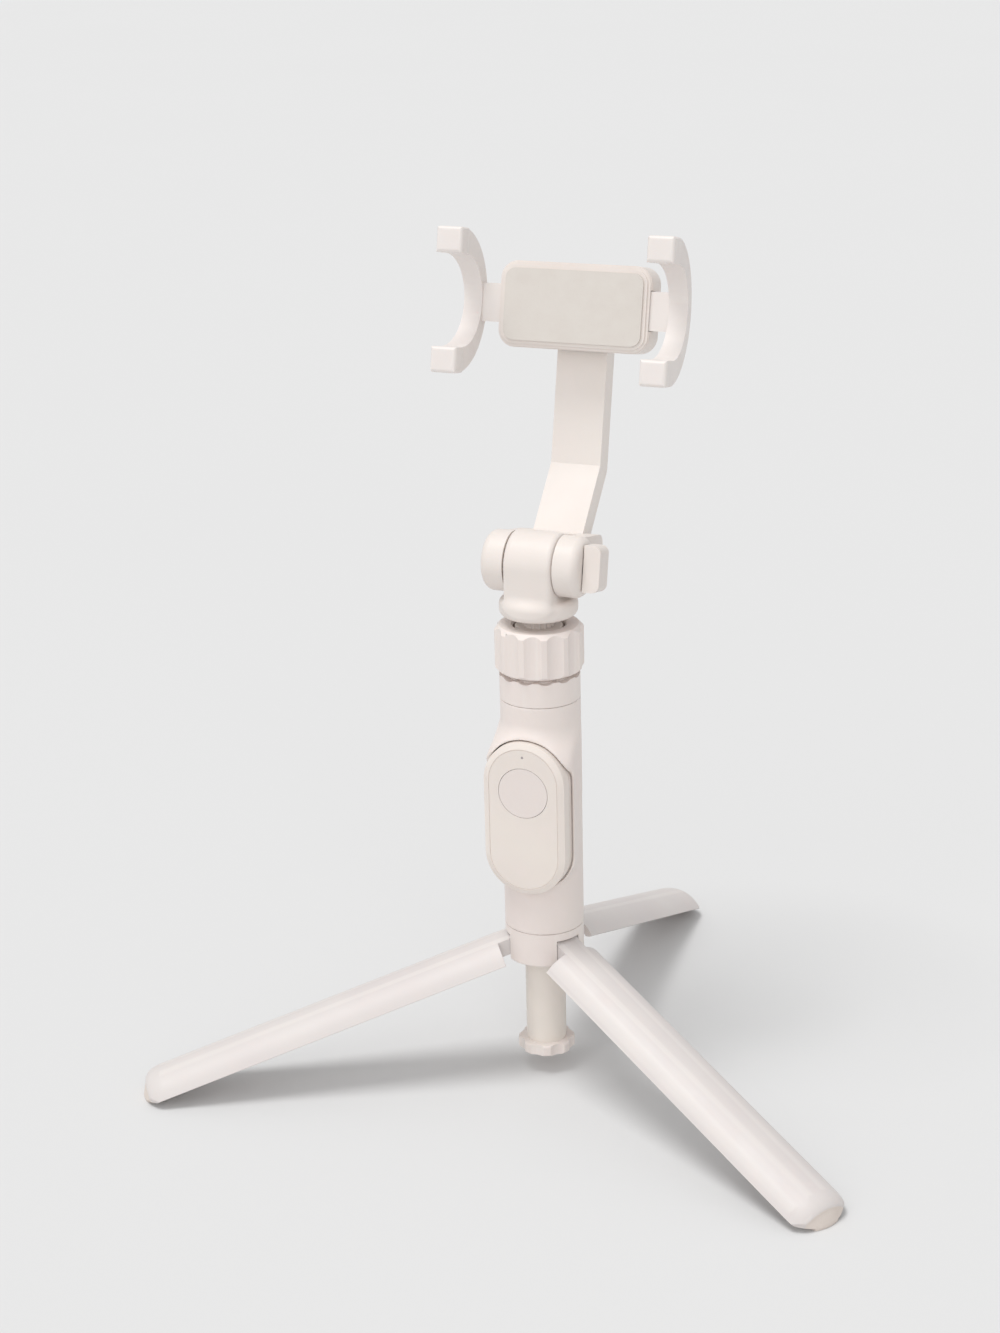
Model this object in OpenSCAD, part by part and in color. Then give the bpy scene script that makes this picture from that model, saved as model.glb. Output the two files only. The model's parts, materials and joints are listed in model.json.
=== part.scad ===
// Desktop phone tripod with folding legs, a telescopic mast, a tilting two-jaw
// phone clamp and a remote that docks in the body. Lengths are in millimetres.
// +Z is up. The origin is on the floor below the middle of the outer box, the
// remote faces -Y and one leg points to +Y. The clamp leans back as in use.

/* [Body] */
// Diameter of the casing, the hub, the collar and the folded legs
body_d = 27.4; // [26.8:0.1:28]
// Height of the casing between the hub and the collar
casing_h = 82.9; // [80:0.1:95]
// Wall of the casing
casing_wall = 1.8; // [1.5:0.1:2]
// Height of the collar's visible band
collar_h = 8.8; // [8:0.1:14]
// Height of the hub's visible band
hub_h = 12.3; // [12:0.1:14]
// Height of the hub's lower face above the floor
hub_lift = 44; // [44:0.5:60]
// Number of shallow dimples around the collar's upper edge
collar_dimples = 12; // [8:1:16]

/* [Lock ring] */
// Outer diameter of the fluted ring over its ridges
ring_d = 30.2; // [29.6:0.1:32]
// Height of the fluted ring
ring_h = 15.7; // [15:0.1:18]
// Number of flutes around the ring
ring_flutes = 12; // [8:1:16]
// Depth of each flute
flute_depth = 1.1; // [0.6:0.1:1.2]
// Turn of the ring on the collar as shown, in degrees
ring_turn = -2; // [-15:1:15]
// Gap between the collar and the ring's foot
ring_gap = 1.4; // [0.5:0.1:2]
// Diameter of the opening in the ring's top
ring_mouth_d = 17.8; // [17:0.2:19]

/* [Mast] */
// Outer diameter of the fixed tube that shows below the hub
post_d = 14; // [13.6:0.1:14.2]
// Wall of the fixed tube
post_wall = 0.9; // [0.6:0.1:0.9]
// Outer diameters of the sliding sections, widest first
section_ods = [11.4, 9.4, 7.4, 5.4];
// Wall of each sliding section
section_wall = 0.5; // [0.4:0.1:0.5]
// Travel of each sliding section
section_travel = 94; // [60:1:105]
// Length of the friction sleeve at each section's foot
sleeve_h = 12; // [8:1:16]
// Diameter of the lobed end cap over its lobes
cap_d = 19.8; // [18:0.2:20]
// Height of the lobed end cap
cap_h = 4; // [3.6:0.1:5]
// Gap between the end cap and the floor
cap_lift = 7.5; // [4:0.5:8]
// Number of lobes on the end cap
cap_lobes = 8; // [6:1:10]

/* [Legs] */
// Length of a leg from its pin to its tip
leg_l = 141; // [120:0.5:150]
// Wall of a leg's curved shell
leg_wall = 2.2; // [1.8:0.1:2.4]
// Half of the angle that a leg's shell spans around the mast
leg_half_angle = 58.5; // [56:0.5:59]
// Width of the lug that carries a leg on its pin
lug_w = 9; // [8:0.5:9.4]
// Distance of the leg pins from the mast's axis
pin_reach = 10.5; // [10.2:0.1:10.8]
// Height of the leg pins above the hub's lower face
pin_rise = 6; // [5:0.1:6.4]
// Diameter of the leg pins
pin_d = 2; // [1.6:0.1:2.2]
// How far a foot stands proud below the leg's edges
foot_proud = 0.8; // [0.6:0.1:1.2]

/* [Remote] */
// Width of the remote
remote_w = 29.2; // [28.6:0.1:30]
// Height of the remote
remote_h = 55; // [52:0.2:56]
// Thickness of the remote
remote_t = 7.8; // [7.6:0.1:9]
// Distance of the remote's face from the mast's axis
remote_reach = 17.4; // [17:0.1:17.6]
// Height of the remote's middle above the casing's lower edge
remote_rise = 43.9; // [42:0.1:48]
// Diameter of the remote's button
button_d = 17.6; // [14:0.2:18]
// Distance of the button's middle below the remote's top
button_drop = 17.8; // [17:0.1:20]
// Travel of the button
button_travel = 0.5; // [0.3:0.1:0.5]

/* [Head] */
// Diameter of the head's round base
base_d = 26.6; // [26:0.2:28]
// Thickness of the head's round base
base_h = 6.1; // [5:0.1:6.5]
// Gap between the lock ring and the head's base
base_gap = 3.3; // [3:0.1:6]
// Height of the tilt hinge above the top of the head's base
hinge_rise = 11.4; // [11:0.1:14]
// Width of the tongue between the ears
tongue_w = 17.2; // [16:0.2:19]
// Radius of the tongue's rounded top
tongue_r = 11; // [10.4:0.1:11.2]
// Diameter of the tilt bolt
bolt_d = 4; // [3:0.1:4.4]

/* [Clamp] */
// Lean of the clamp backwards from upright, in degrees
lean = 11.9; // [0:0.1:20]
// Radius of the arm's round ears
ear_r = 10.3; // [9.6:0.1:10.8]
// Thickness of the ear that holds the bolt's head
ear_left_t = 8.4; // [7:0.1:10]
// Thickness of the ear beside the wing knob
ear_right_t = 8.4; // [6:0.1:10]
// Distance along the arm from the tilt hinge to the clamp's middle
arm_l = 85; // [80:0.5:90]
// Width of the arm
arm_w = 18; // [16:0.5:20]
// Thickness of the arm
arm_t = 7.2; // [6.6:0.1:8]
// Width of the clamp's housing along the jaws
housing_w = 54; // [50:1:56]
// Height of the clamp's housing across the jaws
housing_h = 29; // [27:0.5:32]
// Opening between the jaws as shown
jaw_gap = 64.6; // [62:0.2:72]
// Smallest opening between the jaws
jaw_gap_min = 57.4; // [57:0.2:60]
// Largest opening between the jaws
jaw_gap_max = 88.6; // [80:0.2:90]
// Height of a jaw's claw
claw_h = 48.4; // [44:0.2:52]
// Width of the notch in a claw
notch_w = 31; // [30:0.2:34]
// Depth of the notch in a claw
notch_depth = 23; // [20:0.2:24]
// Thickness of a claw's back behind its notch
claw_back = 4.5; // [4:0.1:6]
// Thickness of a claw at its tips
claw_t = 9.4; // [8:0.1:10]
// How far the tips of a claw stand in front of the tilt hinge
claw_reach = 3.5; // [0:0.1:5]

/* [Hidden] */
$fn = 96;

// Overrun of every cut past the face that it opens
over = 1;
// Running clearance of a shaft in its bore, on the radius
run = 0.05;
// Clear gap between pieces that move past each other
gap = 0.3;

// Colours
stone = [0.89, 0.86, 0.83];
stone_dark = [0.80, 0.77, 0.74];
steel = [0.72, 0.72, 0.72];
green = [0.20, 0.38, 0.28];

// Body
body_r = body_d / 2;
casing_r_in = body_r - casing_wall;
hub_top = hub_lift + hub_h;
casing_top = hub_top + casing_h;
collar_top = casing_top + collar_h;
seam = 0.2;
spigot_h = 8;
spigot_fit = 0.05;
boss_r = 2.55;
boss_h = 10;
boss_root = 0.4;
boss_reach = casing_r_in - boss_r + boss_root;
screw_r = 0.9;
screw_head_r = 1.8;
screw_head_h = 1.6;
screw_l = hub_h + boss_h * 0.8;
hub_round = 0.7;
dimple_r = 4.5;
dimple_depth = 0.7;

// Mast
post_r = post_d / 2;
post_r_in = post_r - post_wall;
lip_h = 1.5;
cap_floor = 1.2;
post_bottom = cap_lift + cap_floor;
section_rise = 1.3;
neck_wall = 0.9;
neck_r = 11.1;
neck_h = 10.7;
neck_top = collar_top + neck_h;
post_top = neck_top - neck_wall;
section_bottom = post_bottom + cap_floor;
section_count = len(section_ods);
cap_scallop_r = 5;
cap_scallop_depth = 1.1;
cap_round = 0.8;

// Lock ring
ring_r = ring_d / 2;
ring_bottom = collar_top + ring_gap;
ring_top = ring_bottom + ring_h;
ring_chamfer = 1.6;
ring_foot_chamfer = 1;
flute_r = 6;
ring_web = ring_top - neck_top - gap;
ring_mouth_chamfer = 0.6;
ring_mouth_depth = 2.4;
ring_bore_r = section_ods[0] / 2 + gap;

// Legs
pin_r = pin_d / 2;
pin_z = hub_lift + pin_rise;
pin_half_l = 6.4;
leg_top = hub_lift - gap;
leg_tip = pin_z - leg_l;
leg_r_in = body_r - leg_wall;
leg_chord = 6.6;
lug_r = body_r - pin_reach;
lug_gap = 0.3;
slot_w = lug_w + 2 * lug_gap;
slot_r_in = pin_reach - lug_r - lug_gap;
foot_l = 2.6;
foot_plug_l = 10;
foot_tongue_l = 7;
nose_l = 9;
nose_face_r = 10.8;
nose_slant = 2.4;
nose_plan_r = 14;
nose_wall = 9;
leg_azimuths = [90, 210, 330];
// The open angle puts the tips of the legs' edges one foot_proud above the floor
leg_span = norm([leg_chord - pin_reach, leg_l]);
leg_skew = atan2(leg_chord - pin_reach, leg_l);
leg_open = acos((pin_z - foot_proud) / leg_span) - leg_skew;
leg_reach = pin_reach + (leg_chord - pin_reach) * cos(leg_open) + leg_l * sin(leg_open);
// The mast stands off the middle of the box, because one leg points back
foot_half_w = 8.3;
mast_y = -(leg_reach - leg_reach * sin(30) - foot_half_w * cos(30)) / 2;

// Remote and its dock
remote_r = remote_w / 2;
remote_z = hub_top + remote_rise;
remote_back = remote_reach - remote_t;
remote_seam = 2.2;
remote_skin = 1.2;
remote_bevel_w = 1.9;
remote_bevel_d = 1;
remote_line_in = 2.1;
remote_line_w = 0.25;
remote_line_depth = 0.2;
dock_gap = 0.4;
dock_rim = 1;
dock_rim_wall = 0.8;
dock_reach = remote_back - dock_gap;
dock_wall = 1.6;
dock_back_w = 27.2;
remote_arc_z = remote_z + remote_h / 2 - remote_r;
shoulder_reach = 14.8;
shoulder_r = 15.6;
shoulder_slope = 0.4;
shoulder_low = 7.4;
shoulder_side = 2.1;
dock_half_w = remote_r + dock_gap + dock_rim_wall;
shoulder_half_w = dock_back_w / 2 + shoulder_reach * (dock_half_w - dock_back_w / 2) / (dock_reach + dock_rim);
button_r = button_d / 2;
button_z = remote_z + remote_h / 2 - button_drop;
button_lip = 0.6;
button_lip_t = 0.4;
button_t = 1.1;
light_r = 0.45;
light_drop = 4.9;
light_rise = remote_h / 2 - light_drop;
board_t = 0.6;
board_reach = remote_reach - 3.1;
board_margin = 3.5;
board_w = remote_w - 2 * board_margin;
board_h = remote_h - 2 * board_margin;
switch_w = 4;
switch_t = 0.7;
cell_r = 10;
cell_t = 2.5;
cell_lift = 16.5;
cell_z = remote_z - remote_h / 2 + cell_lift;

// Head
base_r = base_d / 2;
base_bottom = ring_top + base_gap;
base_top = base_bottom + base_h;
base_round = 2.2;
hinge_z = base_top + hinge_rise;
tongue_back = 8;
tongue_round = 1.5;
head_neck_r = 5.4;
head_neck_h = 4;
head_neck_ribs = 16;
rib_w = 1;
rib_depth = 0.7;
neck_disc_gap = 0.7;
neck_disc_r = ring_mouth_d / 2 - neck_disc_gap;
neck_disc_h = 1;
neck_disc_low = 0.9;
stud_r = 3.15;
stud_l = 11;
stud_collar_r = 4.2;
stud_collar_h = 1.2;
stud_bottom = post_top + section_count * section_rise;

// Clamp: u runs up the arm, v runs out of the clamp's face, both from the hinge
bolt_r = bolt_d / 2;
ear_in = tongue_w / 2 + gap;
ear_left_x = -ear_in - ear_left_t;
ear_right_x = ear_in + ear_right_t;
ear_round = 3;
bolt_head_r = 4.04;
bolt_head_h = 3.2;
bolt_head_in = 2.2;
washer_r = 3.8;
washer_t = 0.6;
knob_gap = 0.3;
knob_x = ear_right_x + knob_gap;
knob_bore_l = 3.4;
knob_wing_h = 15.6;
knob_wing_t = 8;
knob_l = 5.8;
knob_round = 2.6;
neck_link_r = arm_t / 2;
neck_u = 6;
neck_v = 19;
neck_top_u = 31;
pad_t = 0.8;
pad_reach = 17.8;
front_wall = 1.2;
bar_t = 3.6;
bar_h = 13;
bar_gap = 0.2;
bar_end = 7;
housing_wall = 1.8;
housing_round = 6;
housing_edge = 1.2;
cover_t = 2;
cavity_t = 7.2;
front_v = -(pad_reach + pad_t);
cavity_v = front_v - front_wall;
cover_v = cavity_v - cavity_t;
disc_v = cover_v - cover_t;
disc_t = 0.8;
disc_r = 11;
arm_v = disc_v - disc_t - gap;
arm_mid_v = arm_v - neck_link_r;
arm_eye_r = 13;
swivel_r = 2.2;
swivel_head_r = 4.6;
swivel_head_h = 2.4;
swivel_cover_r = 5.4;
swivel_screw_in = 4;
jaw_close = (jaw_gap - jaw_gap_min) / 2;
jaw_open = (jaw_gap_max - jaw_gap) / 2;
claw_side = jaw_gap / 2;
claw_waist_in = 1.2;
claw_waist_out = 2;
claw_hook = 5;
claw_hook_in = 9;
claw_edge = 1.4;
lane_u = 9.3;
spring_r = 2;
spring_r_in = 1.3;
spring_x0 = 11;
spring_x1 = 18;
spring_pitch = 1.1;
spring_eye = 2.4;
post_pin_r = 1;
tab_w = 3.2;
cover_screw_r = 0.9;
cover_screw_head_r = 1.7;
cover_screw_head_h = 1.1;
cover_screw_l = 6;
cover_boss_r = 2.1;
cover_boss_x = 22;
cover_boss_u = 10;

// Puts a piece that is drawn around the mast's axis into the frame
module at_mast() {
  translate([0, mast_y, 0]) children();
}

// Puts a piece that is drawn in the clamp's frame, x across, y up the arm and
// z out of the clamp's face, on the tilt hinge
module at_clamp() {
  translate([0, mast_y, hinge_z]) rotate([90 - lean, 0, 0]) children();
}

// A round bar along X with its far edge rounded over, from x = 0 to x = l
module rounded_ear(r, l, edge) {
  rotate([0, 90, 0]) rotate_extrude() {
    square([r, l - edge]);
    square([r - edge, l]);
    translate([r - edge, l - edge]) circle(r = edge);
  }
}

// A flat shape with round ends between two points
module link(a, b, r) {
  along = b - a;
  l = norm(along);
  translate(a) rotate(atan2(along[1], along[0])) {
    translate([0, -r]) square([l, 2 * r]);
    circle(r = r);
    translate([l, 0]) circle(r = r);
  }
}

// A rectangle with round corners, centred
module rounded_rect(w, h, r) {
  square([w - 2 * r, h], center = true);
  square([w, h - 2 * r], center = true);
  for (x = [-1, 1], y = [-1, 1]) {
    translate([x * (w / 2 - r), y * (h / 2 - r)]) circle(r = r);
  }
}

// The remote's outline, w wide and h high, standing on the dock and facing -Y
module stadium(w, h, reach, t) {
  translate([0, -reach, remote_z]) rotate([-90, 0, 0]) linear_extrude(t)
    link([0, (w - h) / 2], [0, (h - w) / 2], w / 2);
}

// Hub: holds the mast tube and the three leg pins
module hub() {
  at_mast() color(stone) difference() {
    rotate_extrude() difference() {
      union() {
        translate([0, hub_lift + hub_round]) square([body_r, hub_h - hub_round - seam / 2]);
        translate([0, hub_lift]) square([body_r - hub_round, hub_h]);
        translate([body_r - hub_round, hub_lift + hub_round]) circle(r = hub_round);
      }
      translate([0, hub_lift - over]) square([post_r, hub_h + 2 * over]);
    }
    for (a = leg_azimuths) rotate(a) {
      translate([slot_r_in, -slot_w / 2, hub_lift - over])
        cube([body_r, slot_w, pin_rise + lug_r + lug_gap + over]);
      translate([pin_reach, 0, pin_z]) rotate([90, 0, 0]) cylinder(r = pin_r, h = 2 * pin_half_l, center = true);
    }
    for (a = leg_azimuths) rotate(a + 180) translate([boss_reach, 0, hub_lift - over]) {
      cylinder(r = screw_r, h = hub_h + 2 * over);
      cylinder(r = screw_head_r + gap, h = screw_head_h + over);
    }
  }
}

// Leg pins: three steel pins through the hub and the legs' lugs
module leg_pins() {
  at_mast() color(steel) for (a = leg_azimuths) rotate(a)
    translate([pin_reach, 0, pin_z]) rotate([90, 0, 0]) cylinder(r = pin_r, h = 2 * pin_half_l, center = true);
}

// Hub screws: three screws from below that hold the hub to the casing
module hub_screws() {
  at_mast() color(steel) for (a = leg_azimuths) rotate(a + 180) translate([boss_reach, 0, hub_lift]) {
    cylinder(r = screw_r, h = screw_l);
    difference() {
      cylinder(r = screw_head_r, h = screw_head_h);
      translate([0, 0, -over]) cylinder(r = screw_r, h = over + screw_head_h / 2, $fn = 6);
    }
  }
}

// Casing: the round body with the dock for the remote
module casing() {
  at_mast() color(stone) {
    difference() {
      union() {
        translate([0, 0, hub_top]) cylinder(r = body_r, h = casing_h);
        dock_flank();
      }
      casing_bore();
      stadium(remote_w + 2 * dock_gap, remote_h + 2 * dock_gap, remote_reach, remote_t + dock_gap);
      at_bosses() translate([0, 0, -over]) cylinder(r = screw_r, h = boss_h + 2 * over);
    }
  }
}

// The rim that the remote's back sinks into and the shoulder above it, which both
// narrow towards the casing's sides
module dock_flank() {
  intersection() {
    union() {
      stadium(2 * dock_half_w, remote_h - remote_w + 2 * dock_half_w, dock_reach + dock_rim, dock_reach + dock_rim);
      dock_shoulder();
    }
    translate([0, 0, remote_z - remote_h]) linear_extrude(2 * remote_h) polygon([
      [-shoulder_half_w, -shoulder_reach - over],
      [-shoulder_half_w, -shoulder_reach],
      [-dock_back_w / 2, 0],
      [dock_back_w / 2, 0],
      [shoulder_half_w, -shoulder_reach],
      [shoulder_half_w, -shoulder_reach - over]
    ]);
  }
}

// The rim around the remote's upper end, which fairs back into the round casing
module dock_shoulder() {
  intersection() {
    translate([0, -shoulder_reach, remote_arc_z]) rotate([-90, 0, 0])
      cylinder(r1 = shoulder_r, r2 = shoulder_r + shoulder_slope * shoulder_reach, h = shoulder_reach);
    translate([-body_d, 0, remote_arc_z]) rotate([90, 0, 90]) linear_extrude(2 * body_d) polygon([
      [-shoulder_reach - over, shoulder_low],
      [-shoulder_reach, shoulder_low],
      [-dock_reach, shoulder_side],
      [over, -shoulder_low],
      [over, 2 * shoulder_r],
      [-shoulder_reach - over, 2 * shoulder_r]
    ]);
  }
}

// The casing's hollow, with a flat wall left behind the dock and the bosses left
module casing_bore() {
  difference() {
    translate([0, 0, hub_top - over]) cylinder(r = casing_r_in, h = casing_h + 2 * over);
    at_bosses() translate([0, 0, -2 * over]) cylinder(r = boss_r, h = boss_h + 2 * over);
    translate([-body_r, -body_r, remote_z - remote_h / 2 - dock_wall])
      cube([body_d, body_r - dock_reach + dock_wall, remote_h + 2 * dock_wall]);
  }
}

// Puts a piece on each of the three bosses that take the hub screws
module at_bosses() {
  for (a = leg_azimuths) rotate(a + 180) translate([boss_reach, 0, hub_top]) children();
}

// Collar: closes the casing and guides the mast tube
module collar() {
  at_mast() color(stone) difference() {
    union() {
      translate([0, 0, casing_top + seam]) cylinder(r = body_r, h = collar_h - seam);
      translate([0, 0, casing_top - spigot_h]) cylinder(r = casing_r_in - spigot_fit, h = spigot_h + collar_h);
      translate([0, 0, casing_top]) cylinder(r = neck_r, h = collar_h + neck_h);
    }
    translate([0, 0, casing_top - spigot_h - over]) cylinder(r = post_r, h = spigot_h + collar_h + neck_h + 2 * over);
    for (i = [0:collar_dimples - 1]) rotate(i * 360 / collar_dimples)
      translate([body_r, 0, collar_top + dimple_r - dimple_depth]) rotate([0, 90, 0])
        cylinder(r = dimple_r, h = dimple_r, center = true);
  }
}

// Mast tube: fixed in the hub and the collar, with a lip that keeps the first section in
module mast_tube() {
  at_mast() color(stone) tube(post_r, post_r_in, post_bottom, post_top, section_ods[0] / 2 + run);
}

// A tube from z0 to z1 whose upper end is rolled in to a lip
module tube(r, r_in, z0, z1, lip_r) {
  difference() {
    translate([0, 0, z0]) cylinder(r = r, h = z1 - z0);
    translate([0, 0, z0 - over]) cylinder(r = r_in, h = z1 - z0 - lip_h + over);
    translate([0, 0, z0]) cylinder(r = lip_r, h = z1 - z0 + over);
  }
}

// Outer radius of section i, counted from 0
function section_r(i) = section_ods[i] / 2;
// Inner radius of the tube that section i slides in
function guide_r(i) = i == 0 ? post_r_in : section_r(i - 1) - section_wall;
// Height of the top of section i
function section_top(i) = post_top + (i + 1) * section_rise;

// Section i of the telescopic mast
module mast_section(i) {
  inner_lip = i < section_count - 1 ? section_r(i + 1) + run : section_r(i) - section_wall;
  at_mast() color(steel)
    tube(section_r(i), section_r(i) - section_wall, section_bottom, section_top(i), inner_lip);
}

// Friction sleeve around the foot of section i
module friction_sleeve(i) {
  at_mast() color(stone_dark) translate([0, 0, section_bottom]) difference() {
    cylinder(r = guide_r(i) - run, h = sleeve_h);
    translate([0, 0, -over]) cylinder(r = section_r(i), h = sleeve_h + 2 * over);
  }
}

// End cap: lobed plug in the foot of the mast tube
module end_cap() {
  at_mast() color(stone) difference() {
    rotate_extrude() {
      translate([0, cap_lift]) square([cap_d / 2 - cap_round, cap_h]);
      translate([0, cap_lift + cap_round]) square([cap_d / 2, cap_h - 2 * cap_round]);
      for (z = [cap_lift + cap_round, cap_lift + cap_h - cap_round])
        translate([cap_d / 2 - cap_round, z]) circle(r = cap_round);
    }
    translate([0, 0, post_bottom]) cylinder(r = post_r, h = cap_h);
    for (i = [0:cap_lobes - 1]) rotate(i * 360 / cap_lobes)
      translate([cap_d / 2 + cap_scallop_r - cap_scallop_depth, 0, cap_lift - over])
        cylinder(r = cap_scallop_r, h = cap_h + 2 * over);
  }
}

// Lock ring: fluted ring that turns on the collar's neck
module lock_ring() {
  at_mast() color(stone) difference() {
    rotate_extrude() polygon([
      [neck_r + run, ring_bottom],
      [ring_r - ring_foot_chamfer, ring_bottom],
      [ring_r, ring_bottom + ring_foot_chamfer],
      [ring_r, ring_top - ring_chamfer],
      [ring_r - ring_chamfer, ring_top],
      [ring_mouth_d / 2 + ring_mouth_chamfer, ring_top],
      [ring_mouth_d / 2, ring_top - ring_mouth_chamfer],
      [ring_mouth_d / 2, ring_top - ring_mouth_depth],
      [ring_bore_r, ring_top - ring_mouth_depth],
      [ring_bore_r, ring_top - ring_web],
      [neck_r + run, ring_top - ring_web]
    ]);
    for (i = [0:ring_flutes - 1]) rotate((i + 0.5) * 360 / ring_flutes + ring_turn)
      translate([ring_r + flute_r - flute_depth, 0, ring_bottom - over])
        cylinder(r = flute_r, h = ring_h + 2 * over);
  }
}

// Turns a leg that is drawn folded, along -Z beside the mast, to its open place
module open_leg(azimuth) {
  at_mast() rotate(azimuth) translate([pin_reach, 0, pin_z]) rotate([0, -leg_open, 0])
    translate([-pin_reach, 0, -pin_z]) children();
}

// The plain curved wall of a folded leg, from z0 to z1, between two radii
module leg_sector(r, z0, z1) {
  intersection() {
    translate([0, 0, z0]) cylinder(r = r, h = z1 - z0);
    translate([leg_chord, -r, z0]) cube([r, 2 * r, z1 - z0]);
    translate([0, 0, z0]) linear_extrude(z1 - z0) polygon([
      [0, 0],
      [body_d, -body_d * tan(leg_half_angle)],
      [body_d, body_d * tan(leg_half_angle)]
    ]);
  }
}

// The space that a leg's rounded tip leaves, seen from the side and from above
module leg_nose() {
  intersection() {
    rotate_extrude() {
      translate([0, leg_tip + nose_l]) square([body_r + over, leg_l]);
      polygon([
        [0, leg_tip],
        [leg_chord, leg_tip],
        [nose_face_r, leg_tip + nose_slant],
        [nose_face_r, leg_tip + nose_l + over],
        [0, leg_tip + nose_l + over]
      ]);
      translate([nose_face_r, leg_tip + nose_l]) scale([body_r - nose_face_r, nose_l - nose_slant]) circle(r = 1);
    }
    translate([-over, 0, leg_tip + nose_plan_r]) {
      rotate([0, 90, 0]) cylinder(r = nose_plan_r, h = body_d);
      translate([0, -nose_plan_r, 0]) cube([body_d, 2 * nose_plan_r, leg_l]);
    }
  }
}

// One leg: a curved shell with a closed tip and a lug for its pin
module leg(azimuth) {
  color(stone) open_leg(azimuth) {
    difference() {
      intersection() {
        leg_sector(body_r, leg_tip + foot_l, leg_top);
        leg_nose();
      }
      translate([0, 0, leg_tip + foot_l + nose_wall]) cylinder(r = leg_r_in, h = leg_l);
      foot_plug(gap / 2);
    }
    leg_lug();
  }
}

// The lug that joins a leg to its pin
module leg_lug() {
  difference() {
    union() {
      translate([pin_reach, 0, pin_z]) rotate([90, 0, 0]) cylinder(r = lug_r, h = lug_w, center = true);
      intersection() {
        translate([pin_reach - lug_r, -lug_w / 2, leg_top - leg_wall]) cube([2 * lug_r, lug_w, pin_z - leg_top + leg_wall]);
        translate([0, 0, leg_top - leg_wall]) cylinder(r = body_r, h = leg_l);
      }
    }
    translate([pin_reach, 0, pin_z]) rotate([90, 0, 0]) cylinder(r = pin_r + run, h = 2 * lug_w, center = true);
  }
}

// The part of a foot that is let into the underside of the leg's tip
module foot_plug(clear) {
  translate([leg_chord - over, -foot_plug_l / 2 - clear, leg_tip])
    cube([over + leg_wall + clear, foot_plug_l + 2 * clear, foot_l + foot_tongue_l + clear]);
}

// One rubber foot: the tip of the leg, with a flat that lies on the floor
module foot(azimuth) {
  color(stone_dark) difference() {
    open_leg(azimuth) {
      intersection() {
        union() {
          leg_sector(body_r, leg_tip, leg_tip + foot_l);
          translate([leg_chord - foot_proud * 2, -foot_plug_l / 2, leg_tip]) cube([foot_proud * 2, foot_plug_l, foot_l]);
        }
        leg_nose();
      }
      intersection() {
        foot_plug(0);
        leg_nose();
      }
    }
    translate([-leg_l * 2, -leg_l * 2, -leg_l]) cube([leg_l * 4, leg_l * 4, leg_l]);
  }
}

// Front shell of the remote with the hole for the button
module remote_front() {
  at_mast() color(stone) difference() {
    union() {
      stadium(remote_w, remote_h, remote_reach - remote_bevel_d, remote_t - remote_bevel_d - remote_seam);
      remote_bevel();
    }
    stadium(remote_w - 2 * remote_skin, remote_h - 2 * remote_skin, remote_reach - remote_skin, remote_t);
    remote_line();
    translate([0, -remote_reach, button_z]) rotate([90, 0, 0]) cylinder(r = button_r + gap / 2, h = remote_t, center = true);
    translate([0, -remote_reach, remote_z + light_rise]) rotate([90, 0, 0]) cylinder(r = light_r, h = remote_t, center = true);
  }
}

// The remote's upper layers, whose front edge has a broad shallow bevel
module remote_bevel() {
  arc = remote_h / 2 - remote_r;
  for (z = [-arc, arc]) translate([0, -remote_reach, remote_z + z]) rotate([-90, 0, 0])
    cylinder(r1 = remote_r - remote_bevel_w, r2 = remote_r, h = remote_bevel_d);
  translate([0, 0, remote_z - arc]) linear_extrude(2 * arc) polygon([
    [remote_bevel_w - remote_r, -remote_reach],
    [remote_r - remote_bevel_w, -remote_reach],
    [remote_r, remote_bevel_d - remote_reach],
    [-remote_r, remote_bevel_d - remote_reach]
  ]);
}

// The fine groove around the remote's face, just inside its bevel
module remote_line() {
  line_in = 2 * remote_line_in;
  line_out = line_in + 2 * remote_line_w;
  difference() {
    stadium(remote_w - line_in, remote_h - line_in, remote_reach + over, over + remote_line_depth);
    stadium(remote_w - line_out, remote_h - line_out, remote_reach + 2 * over, 3 * over + remote_line_depth);
  }
}

// Back shell of the remote
module remote_back() {
  at_mast() color(stone) difference() {
    stadium(remote_w, remote_h, remote_back + remote_seam - seam, remote_seam - seam);
    stadium(remote_w - 2 * remote_skin, remote_h - 2 * remote_skin, remote_back + remote_seam, remote_seam - remote_skin);
  }
}

// Round button of the remote, with a lip that keeps it in
module remote_button() {
  at_mast() color(stone) translate([0, -remote_reach, button_z]) rotate([-90, 0, 0]) {
    cylinder(r = button_r, h = remote_skin + button_lip_t + seam);
    translate([0, 0, remote_skin + seam]) cylinder(r = button_r + button_lip, h = button_lip_t);
  }
}

// Circuit board of the remote
module remote_board() {
  at_mast() color(green) translate([0, -board_reach, remote_z]) rotate([-90, 0, 0])
    linear_extrude(board_t) rounded_rect(board_w, board_h, board_w / 2 - seam);
}

// Push switch on the board behind the button
module remote_switch() {
  at_mast() color(steel) translate([0, -board_reach, button_z]) rotate([90, 0, 0]) {
    translate([-switch_w / 2, -switch_w / 2, 0]) cube([switch_w, switch_w, switch_t]);
  }
}

// Clear light pipe from the board to the remote's face
module remote_light() {
  at_mast() color("white") translate([0, -board_reach, remote_z + light_rise]) rotate([90, 0, 0])
    cylinder(r = light_r, h = remote_reach - board_reach);
}

// Coin cell behind the board
module remote_cell() {
  at_mast() color(steel) translate([0, -board_reach + board_t + seam, cell_z]) rotate([-90, 0, 0])
    cylinder(r = cell_r, h = cell_t);
}

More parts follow.
